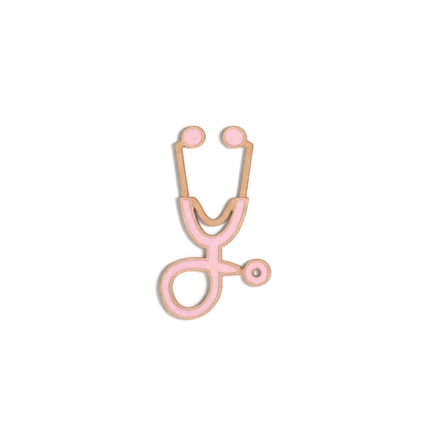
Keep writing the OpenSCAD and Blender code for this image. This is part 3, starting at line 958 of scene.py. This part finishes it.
SENSOR = 36.0
DISTANCE = 1000.0       # from the camera to the pin
VIEW_W = 97.0           # width of the view at the pin
AZIMUTH, ELEVATION = math.radians(8), math.radians(2.5)    # the camera's, right of and above the front
AIM = 0.2, 11.85        # the view's centre, right of and above the middle of the body's metal at X = Z = 0
FLOOR_Z = -38.5
FLOOR_HALF_W, FLOOR_FRONT, FLOOR_BACK = 300, -400, 300
CARD_Y = -0.05          # the card is let into the pin's edge, so that the pin's back stands clear of it
CARD_HALF_W, CARD_TOP = 150, 160
LIT_POINT = 0, 0, 10    # where the lamps are turned to


def look(obj, place, target):
    """Puts a camera or light at a place and turns it to face a target."""
    obj.location = Vector(place) * MM
    obj.rotation_euler = (Vector(target) - Vector(place)).to_track_quat("-Z", "Y").to_euler()
    bpy.context.scene.collection.objects.link(obj)


back = Vector((math.sin(AZIMUTH) * math.cos(ELEVATION), -math.cos(AZIMUTH) * math.cos(ELEVATION),
               math.sin(ELEVATION)))
right = Vector((math.cos(AZIMUTH), math.sin(AZIMUTH), 0))
up = back.cross(right)
target = Vector((0, RIM_TOP / 2, 0)) + right * AIM[0] + up * AIM[1]
camera = bpy.data.objects.new("camera", bpy.data.cameras.new("camera"))
camera.data.sensor_width = SENSOR
camera.data.lens = SENSOR * DISTANCE / VIEW_W
camera.data.clip_end = 10 * DISTANCE * MM
look(camera, target + back * DISTANCE, target)
bpy.context.scene.camera = camera


def flat_piece(name, corners, material):
    """One rectangle of the stage."""
    mesh = bpy.data.meshes.new(name)
    mesh.from_pydata([[c * MM for c in corner] for corner in corners], [], [[0, 1, 2, 3]])
    piece = bpy.data.objects.new(name, mesh)
    bpy.context.scene.collection.objects.link(piece)
    dress(piece, material)


def card_paper():
    """White card, seen from the front; its back is clear, so that the pin's back can be seen."""
    p = Paint("card_paper")
    p.finish({"Base Color": (0.95, 0.95, 0.95), "Roughness": 1.0, "Specular IOR Level": 0.0,
              "Emission Color": (1.0, 1.0, 1.0), "Emission Strength": 0.04}, {})
    behind = p.node("ShaderNodeNewGeometry", {}, {}, "Backfacing")
    clear = p.node("ShaderNodeBsdfTransparent", {}, {})
    both = p.node("ShaderNodeMixShader", {}, {0: behind, 1: Value(p, p.shader.outputs[0]), 2: clear})
    p.join(both, p.tree.nodes["Material Output"].inputs["Surface"])
    return p.material


def floor_paper():
    """Off-white paper with faint clouds."""
    p = Paint("floor_paper")
    tint = p.noise(30, 2)
    return p.finish({"Roughness": 0.9}, {"Base Color": p.blend(tint, colour("f1f1f0"), colour("f6f6f5"))})


flat_piece("card", [(-CARD_HALF_W, CARD_Y, FLOOR_Z), (CARD_HALF_W, CARD_Y, FLOOR_Z),
                    (CARD_HALF_W, CARD_Y, CARD_TOP), (-CARD_HALF_W, CARD_Y, CARD_TOP)], card_paper())
flat_piece("floor", [(-FLOOR_HALF_W, FLOOR_FRONT, FLOOR_Z), (FLOOR_HALF_W, FLOOR_FRONT, FLOOR_Z),
                     (FLOOR_HALF_W, FLOOR_BACK, FLOOR_Z), (-FLOOR_HALF_W, FLOOR_BACK, FLOOR_Z)],
           floor_paper())


def softbox(name, place, size, watts):
    """A square white lamp of a size and power, turned to the pin."""
    light = bpy.data.lights.new(name, "AREA")
    light.size, light.energy = size * MM, watts
    lamp = bpy.data.objects.new(name, light)
    look(lamp, place, LIT_POINT)
    return lamp


# The key casts the soft shadow to the left; hidden from reflections, it leaves no streak on the metal.
key = softbox("key", (276, -417, 60), 140, 2.1)
key.visible_glossy = False
softbox("front_panel", (-84, -594, -4), 300, 0.31)      # what the flat metal reflects
softbox("rear_key", (-260, 420, 200), 300, 2.2)         # for the posts and clutches


def set_world():
    """A white dome, which the camera sees as even.

    As light, it is brighter to the right and below, and most of all behind.
    """
    world = bpy.data.worlds.new("dome")
    world.use_nodes = True
    bpy.context.scene.world = world
    graph = Graph(world.node_tree)
    x, y, z = graph.parts(graph.node("ShaderNodeTexCoord", {}, {}, "Generated"))
    seen = graph.node("ShaderNodeLightPath", {}, {}, "Is Camera Ray")
    light = 0.18 + x * 0.17 - z * 0.06 + y.size() * 0.1 + y.clamped() * 0.6
    background = graph.tree.nodes["Background"]
    graph.join((1.0, 1.0, 1.0), background.inputs["Color"])
    graph.join(light + seen * (1 - light), background.inputs["Strength"])


set_world()
bpy.context.scene.view_settings.view_transform = "Standard"
